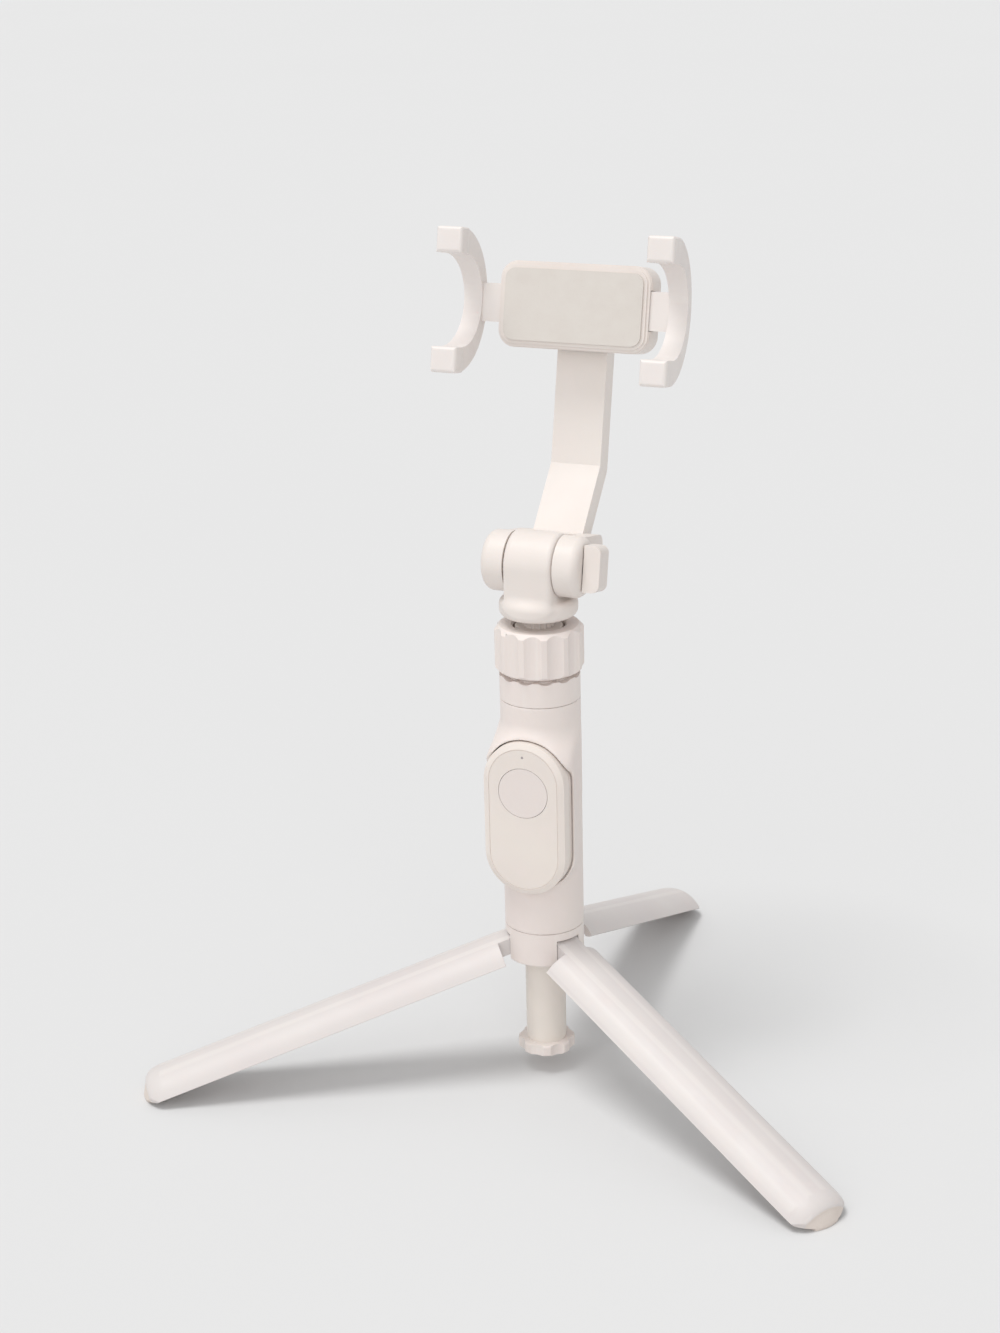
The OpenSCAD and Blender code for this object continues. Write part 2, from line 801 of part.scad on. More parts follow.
// Stud on top of the last section, which the head turns on
module head_stud() {
  at_mast() color(steel) {
    translate([0, 0, stud_bottom]) cylinder(r = stud_collar_r, h = stud_collar_h);
    translate([0, 0, stud_bottom]) cylinder(r = stud_r, h = base_top - stud_bottom - base_round);
    translate([0, 0, stud_bottom - stud_l]) cylinder(r = section_r(section_count - 1) - section_wall, h = stud_l);
  }
}

// Head base: round base, ribbed neck with a disc that covers the ring's mouth, and the
// tongue of the tilt hinge
module head_base() {
  at_mast() color(stone) difference() {
    union() {
      rotate_extrude() {
        translate([0, base_bottom]) square([base_r - base_round, base_h]);
        translate([0, base_bottom + base_round]) square([base_r, base_h - 2 * base_round]);
        for (z = [base_bottom + base_round, base_top - base_round])
          translate([base_r - base_round, z]) circle(r = base_round);
      }
      translate([0, 0, base_bottom - head_neck_h]) cylinder(r = head_neck_r - rib_depth, h = head_neck_h + base_round);
      for (i = [0:head_neck_ribs - 1]) rotate(i * 360 / head_neck_ribs)
        translate([0, -rib_w / 2, base_bottom - head_neck_h]) cube([head_neck_r, rib_w, head_neck_h + base_round]);
      tongue();
      translate([0, 0, base_bottom - head_neck_h - neck_disc_low]) cylinder(r = neck_disc_r, h = neck_disc_h);
    }
    translate([0, 0, stud_bottom]) cylinder(r = stud_r + run, h = base_top - base_round + gap - stud_bottom);
    translate([0, 0, stud_bottom - over]) cylinder(r = stud_collar_r + run, h = over + stud_collar_h + gap);
    translate([0, 0, hinge_z]) rotate([0, 90, 0]) cylinder(r = bolt_r + run, h = 2 * tongue_w, center = true);
  }
}

// The tongue between the arm's ears
module tongue() {
  translate([-tongue_w / 2, 0, hinge_z]) rotate([90, 0, 90]) linear_extrude(tongue_w) {
    circle(r = tongue_r);
    translate([-tongue_r, -hinge_rise - base_round]) square([tongue_r + tongue_back, hinge_rise + base_round]);
  }
}

// Clamp arm: the two ears and the arm that carries the clamp
module clamp_arm() {
  at_clamp() color(stone) difference() {
    union() {
      mirror([1, 0, 0]) translate([ear_in, 0, 0]) rounded_ear(ear_r, ear_left_t, ear_round);
      translate([ear_in, 0, 0]) rounded_ear(ear_r, ear_right_t, ear_round);
      arm_neck();
      translate([-arm_w / 2, 0, 0]) rotate([90, 0, 90]) linear_extrude(arm_w) {
        link([neck_u, -neck_v], [neck_top_u, arm_mid_v], neck_link_r);
        link([neck_top_u, arm_mid_v], [arm_l, arm_mid_v], neck_link_r);
      }
      translate([0, arm_l, arm_v - arm_t]) cylinder(r = arm_eye_r, h = arm_t);
    }
    translate([0, arm_l, arm_v - arm_t - over]) {
      cylinder(r = swivel_r + run, h = arm_t + 2 * over);
      cylinder(r = swivel_head_r + gap, h = swivel_head_h + gap + over);
    }
    rotate([0, 90, 0]) cylinder(r = bolt_r, h = 2 * body_d, center = true);
    translate([ear_left_x - over, 0, 0]) rotate([0, 90, 0]) cylinder(r = bolt_head_r, h = bolt_head_h + over, $fn = 6);
    translate([ear_right_x - washer_t, 0, 0]) rotate([0, 90, 0]) cylinder(r = washer_r + run, h = washer_t + over);
  }
}

// The two cheeks that run back from the ears and the bridge that joins them
module arm_neck() {
  back = neck_v + neck_link_r;
  difference() {
    translate([ear_left_x + ear_round, 0, 0]) rotate([90, 0, 90]) linear_extrude(ear_right_x - ear_left_x - 2 * ear_round)
      link([neck_u, 0], [neck_u, -neck_v], neck_link_r);
    rotate([0, 90, 0]) cylinder(r = tongue_r + gap, h = tongue_w + 2 * gap, center = true);
    translate([-ear_in, -ear_r, -tongue_r - gap]) cube([2 * ear_in, 2 * ear_r, 2 * tongue_r]);
  }
}

// Tilt bolt: its head is held in the left ear, its end is in the wing knob
module tilt_bolt() {
  at_clamp() color(steel) {
    translate([ear_left_x + bolt_head_h - bolt_head_in, 0, 0]) rotate([0, 90, 0]) cylinder(r = bolt_head_r, h = bolt_head_in, $fn = 6);
    translate([ear_left_x + bolt_head_h - bolt_head_in, 0, 0]) rotate([0, 90, 0])
      cylinder(r = bolt_r, h = knob_x + knob_bore_l - ear_left_x - bolt_head_h + bolt_head_in);
  }
}

// Washer between the right ear and the wing knob
module knob_washer() {
  at_clamp() color(steel) translate([ear_right_x - washer_t, 0, 0]) rotate([0, 90, 0]) difference() {
    cylinder(r = washer_r, h = washer_t);
    translate([0, 0, -over]) cylinder(r = bolt_r + run, h = washer_t + 2 * over);
  }
}

// Wing knob: turns on the bolt and pinches the ears on the tongue
module wing_knob() {
  at_clamp() color(stone) translate([knob_x, 0, 0]) difference() {
    translate([knob_l / 2, 0, 0]) rotate(90) linear_extrude(knob_wing_t, center = true) {
      rounded_rect(knob_wing_h, knob_l, knob_round);
      translate([-knob_wing_h / 2, 0]) square([knob_wing_h, knob_l / 2]);
    }
    translate([-over, 0, 0]) rotate([0, 90, 0]) cylinder(r = bolt_r + run, h = knob_bore_l + gap + over);
  }
}

// Swivel screw: holds the clamp to the arm, and the clamp turns with it
module swivel_screw() {
  at_clamp() color(steel) translate([0, arm_l, 0]) {
    translate([0, 0, arm_v - arm_t]) cylinder(r = swivel_head_r, h = swivel_head_h);
    translate([0, 0, arm_v - arm_t]) cylinder(r = swivel_r, h = disc_v - arm_v + arm_t + swivel_screw_in);
  }
}

// Friction disc between the arm and the clamp's cover
module friction_disc() {
  at_clamp() color(stone_dark) translate([0, arm_l, disc_v - disc_t - gap / 2]) difference() {
    cylinder(r = disc_r, h = disc_t);
    translate([0, 0, -over]) cylinder(r = swivel_r + run, h = disc_t + 2 * over);
  }
}

// The clamp housing's outline, inset by an amount
module housing_outline(inset) {
  rounded_rect(housing_w - 2 * inset, housing_h - 2 * inset, housing_round - inset);
}

// Clamp housing: front shell with the jaws' slots and the springs' anchors
module clamp_housing() {
  at_clamp() color(stone) translate([0, arm_l, 0]) {
    difference() {
      union() {
        translate([0, 0, cover_v]) linear_extrude(front_v - cover_v - housing_edge) housing_outline(0);
        translate([0, 0, front_v - housing_edge]) linear_extrude(housing_edge / 2) housing_outline(housing_edge / 4);
        translate([0, 0, front_v - housing_edge]) linear_extrude(housing_edge) housing_outline(housing_edge);
      }
      translate([0, 0, cover_v - over]) linear_extrude(cavity_t + over) housing_outline(housing_wall);
      jaw_slots();
    }
    for (x = [-1, 1]) translate([x * spring_x1, -x * lane_u, cavity_v - cavity_t + bar_gap])
      cylinder(r = post_pin_r, h = cavity_t + front_wall / 2);
    for (x = [-1, 1]) translate([x * cover_boss_x, -x * cover_boss_u, cover_v]) difference() {
      cylinder(r = cover_boss_r, h = cavity_t + front_wall / 2);
      translate([0, 0, -over]) cylinder(r = cover_screw_r, h = cover_screw_l + over);
    }
  }
}

// The two slots in the housing's ends that the jaws' bars slide in
module jaw_slots() {
  translate([-housing_w, -bar_h / 2 - bar_gap, cavity_v - bar_t - 2 * bar_gap])
    cube([2 * housing_w, bar_h + 2 * bar_gap, bar_t + 2 * bar_gap]);
}

// Cover of the clamp housing with the seat for the swivel
module clamp_cover() {
  at_clamp() color(stone) translate([0, arm_l, 0]) difference() {
    union() {
      translate([0, 0, disc_v]) linear_extrude(cover_t) housing_outline(0);
      translate([0, 0, disc_v]) cylinder(r = swivel_cover_r, h = cover_t + bar_gap + cavity_t - bar_t - 4 * bar_gap);
    }
    translate([0, 0, disc_v - over]) cylinder(r = swivel_r, h = swivel_screw_in + over);
    for (x = [-1, 1]) translate([x * cover_boss_x, -x * cover_boss_u, disc_v - over]) {
      cylinder(r = cover_screw_r, h = cover_t + 2 * over);
      cylinder(r = cover_screw_head_r + bar_gap, h = cover_screw_head_h + over);
    }
  }
}

// Two small screws that hold the cover
module cover_screws() {
  at_clamp() color(steel) translate([0, arm_l, 0])
    for (x = [-1, 1]) translate([x * cover_boss_x, -x * cover_boss_u, disc_v]) {
      cylinder(r = cover_screw_r, h = cover_screw_l);
      cylinder(r = cover_screw_head_r, h = cover_screw_head_h);
    }
}

// Soft pad on the housing's face
module clamp_pad() {
  at_clamp() color(stone_dark) translate([0, arm_l, front_v]) linear_extrude(pad_t) housing_outline(2 * housing_edge);
}

// The side view of a claw, with its tips at y = claw_reach
module claw_side_view() {
  claw_mid = claw_reach - notch_depth - claw_back + claw_h / 2;
  difference() {
    union() {
      intersection() {
        translate([0, claw_mid]) circle(r = claw_h / 2);
        translate([-claw_h / 2, claw_mid - claw_h]) square([claw_h, claw_h]);
      }
      translate([0, claw_mid - claw_edge]) claw_front(claw_h, claw_reach - claw_mid + claw_edge, claw_edge);
    }
    translate([0, claw_reach - notch_depth + notch_w / 2]) circle(r = notch_w / 2);
    translate([-notch_w / 2, claw_reach - notch_depth + notch_w / 2]) square([notch_w, notch_depth]);
    for (x = [-1, 1]) translate([x * (notch_w / 2 + claw_edge / 2), claw_reach - claw_edge / 2]) difference() {
      square([claw_edge + over / 2, claw_edge + over / 2], center = true);
      translate([x * claw_edge / 2, -claw_edge / 2]) circle(r = claw_edge);
      translate([x * claw_edge, 0]) square([claw_edge, 2 * claw_edge], center = true);
      translate([0, -claw_edge]) square([2 * claw_edge, claw_edge], center = true);
    }
  }
}

// A block from y = 0 to y = h whose two far corners are round
module claw_front(w, h, r) {
  translate([-w / 2, 0]) square([w, h - r]);
  translate([-w / 2 + r, 0]) square([w - 2 * r, h]);
  for (x = [-1, 1]) translate([x * (w / 2 - r), h - r]) circle(r = r);
}

// The view of a claw from its end, which is thickest and hooks in at the tips
module claw_end_view() {
  claw_floor = claw_reach - notch_depth - claw_back - over;
  polygon([
    [0, claw_reach - claw_edge],
    [0, claw_reach - claw_hook],
    [claw_waist_in, claw_reach - claw_hook_in],
    [claw_waist_in, claw_floor],
    [claw_t - claw_waist_out, claw_floor],
    [claw_t, claw_reach - claw_edge]
  ]);
  translate([claw_t / 2, claw_reach - 2 * claw_edge]) claw_front(claw_t, 2 * claw_edge, claw_edge);
}

// One jaw: a claw with a notch, and the bar that slides in the housing
module jaw(side) {
  at_clamp() color(stone) translate([0, arm_l, 0]) rotate(side < 0 ? 180 : 0) {
    intersection() {
      translate([claw_side, 0, 0]) rotate([90, 0, 90]) linear_extrude(claw_t) claw_side_view();
      translate([claw_side, 0, 0]) rotate([90, 0, 0]) linear_extrude(claw_h + over, center = true) claw_end_view();
      translate([claw_side + claw_t / 2, 0, claw_reach - claw_h]) linear_extrude(claw_h) rounded_rect(claw_t, claw_h, claw_edge);
    }
    translate([bar_end, -bar_h / 2, cavity_v - bar_t - bar_gap])
      cube([claw_side + claw_waist_in - bar_end + over, bar_h, bar_t]);
    translate([spring_x0 - tab_w / 2, 0, cavity_v - bar_t - bar_gap])
      cube([tab_w, lane_u + post_pin_r, bar_t / 2 - spring_r_in / 2]);
    translate([spring_x0, lane_u, cavity_v - bar_t - bar_gap]) cylinder(r = post_pin_r, h = bar_t);
  }
}

// A closely wound spring along X with an eye at each end
module jaw_spring(side) {
  body_l = spring_x0 + spring_x1 - 2 * spring_eye;
  turns = floor(body_l / spring_pitch);
  wire_r = (spring_r - spring_r_in) / 2;
  at_clamp() color(steel) translate([0, arm_l, cavity_v - bar_t / 2 - bar_gap]) rotate(side < 0 ? 180 : 0)
    translate([-spring_x1, lane_u, 0]) {
      translate([spring_eye, 0, 0]) rotate([0, 90, 0]) rotate_extrude() {
        translate([spring_r_in, 0]) square([wire_r, body_l]);
        for (i = [0:turns - 1]) translate([spring_r_in + wire_r, (i + 0.5) * body_l / turns]) circle(r = wire_r);
      }
      for (x = [0, spring_x0 + spring_x1]) translate([x, 0, 0]) rotate_extrude()
        translate([post_pin_r + bar_gap + wire_r, 0]) circle(r = wire_r);
      for (x = [spring_eye - 2 * wire_r, spring_x0 + spring_x1 - spring_eye - wire_r])
        translate([x, 0, 0]) rotate([0, 90, 0]) cylinder(r = spring_r_in + wire_r, h = 3 * wire_r);
    }
}

hub();
mast_tube();
end_cap();
casing();
collar();
leg_pins();
hub_screws();
lock_ring();
mast_section(0);  // mast_section_1
mast_section(1);  // mast_section_2
mast_section(2);  // mast_section_3
mast_section(3);  // mast_section_4
friction_sleeve(0);  // friction_sleeve_1
friction_sleeve(1);  // friction_sleeve_2
friction_sleeve(2);  // friction_sleeve_3
friction_sleeve(3);  // friction_sleeve_4
leg(leg_azimuths[0]);  // leg_rear
leg(leg_azimuths[1]);  // leg_left
leg(leg_azimuths[2]);  // leg_right
foot(leg_azimuths[0]);  // foot_rear
foot(leg_azimuths[1]);  // foot_left
foot(leg_azimuths[2]);  // foot_right
remote_front();
remote_back();
remote_button();
remote_board();
remote_switch();
remote_light();
remote_cell();
head_stud();
head_base();
clamp_arm();
tilt_bolt();
knob_washer();
wing_knob();
swivel_screw();
friction_disc();
clamp_housing();
clamp_cover();
cover_screws();
clamp_pad();
jaw(-1);  // jaw_left
jaw(1);  // jaw_right
jaw_spring(-1);  // jaw_spring_left
jaw_spring(1);  // jaw_spring_right
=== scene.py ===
import itertools
import json
import math

import bpy
import numpy as np
from mathutils import Matrix, Vector


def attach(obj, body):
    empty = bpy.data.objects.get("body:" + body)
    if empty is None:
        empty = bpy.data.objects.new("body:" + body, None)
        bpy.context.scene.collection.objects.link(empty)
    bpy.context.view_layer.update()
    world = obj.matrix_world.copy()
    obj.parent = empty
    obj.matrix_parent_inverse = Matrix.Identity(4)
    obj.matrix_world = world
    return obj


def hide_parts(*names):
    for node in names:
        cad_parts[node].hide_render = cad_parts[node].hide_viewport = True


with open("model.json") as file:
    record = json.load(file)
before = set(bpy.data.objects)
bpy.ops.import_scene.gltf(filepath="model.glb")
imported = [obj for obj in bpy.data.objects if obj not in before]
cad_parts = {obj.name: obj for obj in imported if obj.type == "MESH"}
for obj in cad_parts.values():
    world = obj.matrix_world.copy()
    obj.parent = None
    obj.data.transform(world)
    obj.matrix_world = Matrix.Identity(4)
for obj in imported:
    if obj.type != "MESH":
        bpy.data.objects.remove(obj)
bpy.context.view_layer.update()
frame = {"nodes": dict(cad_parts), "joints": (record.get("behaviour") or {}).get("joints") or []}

NODES = frame["nodes"]
MM = 0.001
# The mast's axis lies at x 0 and at this y, in metres. The lock ring turns about it
MAST_Y = frame["joints"][0]["pos_m"][1]

# Sockets of a Mix node that mixes colours, which share their names with those for numbers
FACTOR, COLOUR_A, COLOUR_B, COLOUR_OUT = 0, 6, 7, 2
# Length of one band of a Wave texture at scale 1
WAVE_LENGTH = math.pi / 10


def linear(hex_colour):
    """A colour written as sRGB hex, in the linear values that shaders take."""
    out = []
    for i in (0, 2, 4):
        c = int(hex_colour[i:i + 2], 16) / 255
        out.append(c / 12.92 if c <= 0.04045 else ((c + 0.055) / 1.055) ** 2.4)
    return (*out, 1.0)


def add(tree, kind, inputs=None, **settings):
    """Adds a node with its settings. An input takes a value, or a socket to link from."""
    node = tree.nodes.new(kind)
    for key, value in settings.items():
        setattr(node, key, value)
    for key, value in (inputs or {}).items():
        if isinstance(value, bpy.types.NodeSocket):
            tree.links.new(value, node.inputs[key])
        else:
            node.inputs[key].default_value = value
    return node


def material_of(name, dress):
    """A material whose surface takes the inputs that dress works out in its node tree."""
    mat = bpy.data.materials.new(name)
    mat.use_nodes = True
    tree = mat.node_tree
    tree.nodes.clear()
    place = add(tree, "ShaderNodeTexCoord").outputs["Object"]
    shader = add(tree, "ShaderNodeBsdfPrincipled", dress(tree, place))
    add(tree, "ShaderNodeOutputMaterial", {"Surface": shader.outputs["BSDF"]})
    return mat


def moulded_plastic(name, base, shade, warm, rough=0.46, grain_mm=0.22, grain_depth_mm=0.012,
                    shine=0.42, handled=0.5):
    """Plastic from a spark-eroded mould: fine grain, faint flow clouds and edges that hands polish."""
    cloud_mm, flow_mm, flow_depth_mm = 34, 7.5, 0.02
    glow_mm = (1.6, 1.2, 0.9)

    def dress(tree, place):
        clouds = add(tree, "ShaderNodeTexNoise", {
            "Vector": place, "Scale": 1 / (cloud_mm * MM)}).outputs["Fac"]
        flow = add(tree, "ShaderNodeTexNoise", {
            "Vector": place, "Scale": 1 / (flow_mm * MM), "Detail": 4.0, "Roughness": 0.55,
            "Distortion": 0.4}).outputs["Fac"]
        grain = add(tree, "ShaderNodeTexNoise", {
            "Vector": place, "Scale": 1 / (grain_mm * MM), "Roughness": 0.6}).outputs["Fac"]
        shaded = add(tree, "ShaderNodeMapRange", {
            "Value": clouds, "From Min": 0.35, "From Max": 0.65}).outputs["Result"]
        colour = add(tree, "ShaderNodeMix", {
            FACTOR: shaded, COLOUR_A: linear(base), COLOUR_B: linear(shade)},
            data_type="RGBA").outputs[COLOUR_OUT]
        warmer = add(tree, "ShaderNodeMapRange", {
            "Value": flow, "From Min": 0.5, "From Max": 0.72, "To Max": 0.55}).outputs["Result"]
        colour = add(tree, "ShaderNodeMix", {
            FACTOR: warmer, COLOUR_A: colour, COLOUR_B: linear(warm)},
            data_type="RGBA").outputs[COLOUR_OUT]
        # Edges that hands touch are polished and a little paler
        sharpness = add(tree, "ShaderNodeNewGeometry").outputs["Pointiness"]
        edge = add(tree, "ShaderNodeMapRange", {
            "Value": sharpness, "From Min": 0.51, "From Max": 0.58, "To Max": handled}).outputs["Result"]
        paler = add(tree, "ShaderNodeMath", {0: edge, 1: 0.35}, operation="MULTIPLY").outputs["Value"]
        colour = add(tree, "ShaderNodeMix", {
            FACTOR: paler, COLOUR_A: colour, COLOUR_B: linear("f4f0ea")},
            data_type="RGBA").outputs[COLOUR_OUT]
        spread = add(tree, "ShaderNodeMapRange", {
            "Value": flow, "From Min": 0.3, "From Max": 0.7,
            "To Min": rough - 0.04, "To Max": rough + 0.07}).outputs["Result"]
        polish = add(tree, "ShaderNodeMath", {0: edge, 1: 0.1}, operation="MULTIPLY").outputs["Value"]
        fine = add(tree, "ShaderNodeBump", {
            "Height": grain, "Distance": grain_depth_mm * MM, "Strength": 1.0}).outputs["Normal"]
        return {
            "Base Color": colour,
            "Roughness": add(tree, "ShaderNodeMath", {0: spread, 1: polish},
                             operation="SUBTRACT").outputs["Value"],
            "Normal": add(tree, "ShaderNodeBump", {
                "Height": flow, "Distance": flow_depth_mm * MM, "Strength": 0.6,
                "Normal": fine}).outputs["Normal"],
            "Specular IOR Level": shine,
            "Subsurface Weight": 0.06,
            "Subsurface Radius": [reach * MM for reach in glow_mm],
            "Subsurface Scale": 1.0,
        }
    return material_of(name, dress)


def drawn_metal(name, base, shade, rough=0.26, axis=2, line_mm=0.12):
    """Drawn or brushed steel: fine lines along one axis of the piece."""
    cloud_mm, line_depth_mm = 9, 0.006
    stretch = [1.0, 1.0, 1.0]
    stretch[axis] = 0.012

    def dress(tree, place):
        along = add(tree, "ShaderNodeMapping", {"Vector": place, "Scale": stretch}).outputs["Vector"]
        line = add(tree, "ShaderNodeTexNoise", {
            "Vector": along, "Scale": 1 / (line_mm * MM), "Detail": 3.0, "Roughness": 0.6}).outputs["Fac"]
        cloud = add(tree, "ShaderNodeTexNoise", {
            "Vector": place, "Scale": 1 / (cloud_mm * MM), "Detail": 3.0}).outputs["Fac"]
        shaded = add(tree, "ShaderNodeMapRange", {
            "Value": line, "From Min": 0.3, "From Max": 0.7}).outputs["Result"]
        colour = add(tree, "ShaderNodeMix", {
            FACTOR: shaded, COLOUR_A: linear(base), COLOUR_B: linear(shade)},
            data_type="RGBA").outputs[COLOUR_OUT]
        duller = add(tree, "ShaderNodeMapRange", {
            "Value": cloud, "From Min": 0.5, "From Max": 0.8, "To Max": 0.3}).outputs["Result"]
        return {
            "Base Color": add(tree, "ShaderNodeMix", {
                FACTOR: duller, COLOUR_A: colour, COLOUR_B: linear("8d8b87")},
                data_type="RGBA").outputs[COLOUR_OUT],
            "Roughness": add(tree, "ShaderNodeMapRange", {
                "Value": line, "From Min": 0.25, "From Max": 0.75,
                "To Min": rough, "To Max": rough + 0.16}).outputs["Result"],
            "Normal": add(tree, "ShaderNodeBump", {
                "Height": line, "Distance": line_depth_mm * MM, "Strength": 1.0}).outputs["Normal"],
            "Metallic": 1.0,
        }
    return material_of(name, dress)


def soft_rubber(name, base, shade, rough=0.72, grain_mm=0.35):
    """Moulded elastomer: a matt skin with fine pits and faint scuffs."""
    cloud_mm, pit_depth_mm = 6, 0.03

    def dress(tree, place):
        cloud = add(tree, "ShaderNodeTexNoise", {
            "Vector": place, "Scale": 1 / (cloud_mm * MM), "Detail": 4.0, "Roughness": 0.6}).outputs["Fac"]
        grain = add(tree, "ShaderNodeTexNoise", {
            "Vector": place, "Scale": 1 / (grain_mm * MM), "Detail": 3.0, "Roughness": 0.65}).outputs["Fac"]
        shaded = add(tree, "ShaderNodeMapRange", {
            "Value": cloud, "From Min": 0.35, "From Max": 0.7}).outputs["Result"]
        colour = add(tree, "ShaderNodeMix", {
            FACTOR: shaded, COLOUR_A: linear(base), COLOUR_B: linear(shade)},
            data_type="RGBA").outputs[COLOUR_OUT]
        pitted = add(tree, "ShaderNodeMapRange", {
            "Value": grain, "From Min": 0.62, "From Max": 0.8, "To Max": 0.35}).outputs["Result"]
        return {
            "Base Color": add(tree, "ShaderNodeMix", {
                FACTOR: pitted, COLOUR_A: colour, COLOUR_B: linear("a99f95")},
                data_type="RGBA").outputs[COLOUR_OUT],
            "Roughness": add(tree, "ShaderNodeMapRange", {
                "Value": cloud, "From Min": 0.3, "From Max": 0.7,
                "To Min": rough, "To Max": rough + 0.12}).outputs["Result"],
            "Normal": add(tree, "ShaderNodeBump", {
                "Height": grain, "Distance": pit_depth_mm * MM, "Strength": 1.0}).outputs["Normal"],
            "Specular IOR Level": 0.3,
        }
    return material_of(name, dress)


def circuit_board(name):
    """Glass-fibre board under green solder mask, with the weave and copper showing."""
    thread_mm, pad_mm, copper_mm = 0.748, 2.63, 0.03

    def dress(tree, place):
        weave = add(tree, "ShaderNodeTexWave", {
            "Vector": place, "Scale": WAVE_LENGTH / (thread_mm * MM), "Distortion": 0.6},
            bands_direction="X").outputs["Fac"]
        cells = add(tree, "ShaderNodeTexVoronoi", {"Vector": place, "Scale": 1 / (pad_mm * MM)},
                    feature="DISTANCE_TO_EDGE").outputs["Distance"]
        track = add(tree, "ShaderNodeMapRange", {
            "Value": cells, "From Min": 0.02, "From Max": 0.06,
            "To Min": 1.0, "To Max": 0.0}).outputs["Result"]
        woven = add(tree, "ShaderNodeMapRange", {
            "Value": weave, "From Min": 0.2, "From Max": 0.8, "To Max": 0.4}).outputs["Result"]
        colour = add(tree, "ShaderNodeMix", {
            FACTOR: woven, COLOUR_A: linear("1d5a38"), COLOUR_B: linear("2a6d45")},
            data_type="RGBA").outputs[COLOUR_OUT]
        return {
            "Base Color": add(tree, "ShaderNodeMix", {
                FACTOR: track, COLOUR_A: colour, COLOUR_B: linear("3d8a55")},
                data_type="RGBA").outputs[COLOUR_OUT],
            "Roughness": add(tree, "ShaderNodeMapRange", {
                "Value": weave, "To Min": 0.26, "To Max": 0.36}).outputs["Result"],
            "Normal": add(tree, "ShaderNodeBump", {
                "Height": track, "Distance": copper_mm * MM, "Strength": 1.0}).outputs["Normal"],
        }
    return material_of(name, dress)


def clear_acrylic(name):
    """Clear acrylic light pipe with a slightly frosted end."""
    frost_mm, frost_depth_mm = 0.3, 0.01

    def dress(tree, place):
        haze = add(tree, "ShaderNodeTexNoise", {
            "Vector": place, "Scale": 1 / (frost_mm * MM), "Detail": 3.0}).outputs["Fac"]
        return {
            "Base Color": add(tree, "ShaderNodeMix", {
                FACTOR: haze, COLOUR_A: linear("c3b9b8"), COLOUR_B: linear("d3cac8")},
                data_type="RGBA").outputs[COLOUR_OUT],
            "Roughness": add(tree, "ShaderNodeMapRange", {
                "Value": haze, "From Min": 0.3, "From Max": 0.7,
                "To Min": 0.12, "To Max": 0.3}).outputs["Result"],
            "Normal": add(tree, "ShaderNodeBump", {
                "Height": haze, "Distance": frost_depth_mm * MM, "Strength": 1.0}).outputs["Normal"],
            "Transmission Weight": 0.35,
            "IOR": 1.49,
        }
    return material_of(name, dress)


def studio_floor(name):
    """Matt painted floor with the faintest mottling and no shine."""
    mottle_mm = 400

    def dress(tree, place):
        mottle = add(tree, "ShaderNodeTexNoise", {
            "Vector": place, "Scale": 1 / (mottle_mm * MM)}).outputs["Fac"]
        return {
            "Base Color": add(tree, "ShaderNodeMix", {
                FACTOR: mottle, COLOUR_A: linear("d9d9d9"), COLOUR_B: linear("dadada")},
                data_type="RGBA").outputs[COLOUR_OUT],
            "Roughness": 0.95,
            "Specular IOR Level": 0.0,
        }
    return material_of(name, dress)


# Moulded ABS in warm stone white: an even satin with broad, soft highlights
BODY = moulded_plastic("moulded_abs_satin", "e9e0da", "e7dcd7", "ebe0db")
# Moulded ABS of the legs, cooler and darker than the body's: the darker tone is painted shade for the light
# on the legs, and it shines a little more along the curve
LEG = moulded_plastic("moulded_abs_legs", "d6d0cd", "d3ccca", "d8cfcc", 0.44)
# Moulded ABS of the head and the clamp: the body's satin copied with its tone matched to the light that
# falls on the head, a painted shade a touch darker than the body's
HEAD = moulded_plastic("moulded_abs_head", "e6ded8", "e3dad4", "e8ded9")
# Moulded ABS of the claws: the same satin, painted a shade whiter than the head, a painted light for the
# stronger light at the top of the stand
CLAW = moulded_plastic("moulded_abs_claws", "e7e0dc", "e4dcd8", "e8e0dd")
# Moulded ABS of the remote, of finer grain: smoother, with tighter highlights on its face
REMOTE = moulded_plastic("moulded_abs_remote", "e8dfd7", "e5dbd4", "e9ded8", 0.42, 0.16, 0.008)
# Moulded ABS of the button, the finest grain: its disc stands out by a faint sheen
BUTTON = moulded_plastic("moulded_abs_button", "e7ddd8", "e4dad5", "e8ddd8", 0.4, 0.14, 0.006)
# Acetal, left unpolished: milky, waxy and slightly glossier than the ABS
ACETAL = moulded_plastic("acetal_unpolished", "dcd7cf", "d4cec6", "dfd9d0", 0.38, 0.4, 0.01, 0.5, 0.2)
# Satin coat sprayed on the tube: warmer than the plastic, with a soft line of light down it
PAINT = moulded_plastic("sprayed_satin_coat", "ece3da", "e8dfd6", "eee3db", 0.38, 0.5, 0.01, 0.5, 0.2)
# Drawn stainless tube: a cool mirror blurred across by fine lines along its length
STAINLESS = drawn_metal("drawn_stainless", "c9c8c5", "b5b4b1")
# Zinc-plated steel pins, screws and bolt: pale grey and slightly dull
ZINC = drawn_metal("zinc_plated_steel", "bdbcba", "a6a5a3", 0.32, 0, 0.2)
# Cold-drawn spring wire: a darker, cleaner grey
SPRING = drawn_metal("spring_wire", "a9a9aa", "8f8f91", 0.28, 0, 0.1)
# Nickel-plated can of the coin cell and the switch's stamped cover: bright and a little warm
NICKEL = drawn_metal("nickel_plated_can", "d0cec8", "c0beb8", 0.22, 2, 0.3)
# Moulded soft rubber of the feet: matt, a warm off-white beside the legs
FOOT = soft_rubber("foot_elastomer", "dfd5cd", "dacfc7")
# Moulded soft pad on the clamp's face: matt, with its pits just visible
PAD = soft_rubber("pad_elastomer", "d9d3cc", "d6cfc8", 0.68, 0.3)
# Circuit board under solder mask: green, with a faint weave and raised tracks
BOARD = circuit_board("solder_masked_board")
# Clear acrylic of the light: a small frosted dot that lets some light in
CLEAR = clear_acrylic("clear_acrylic")
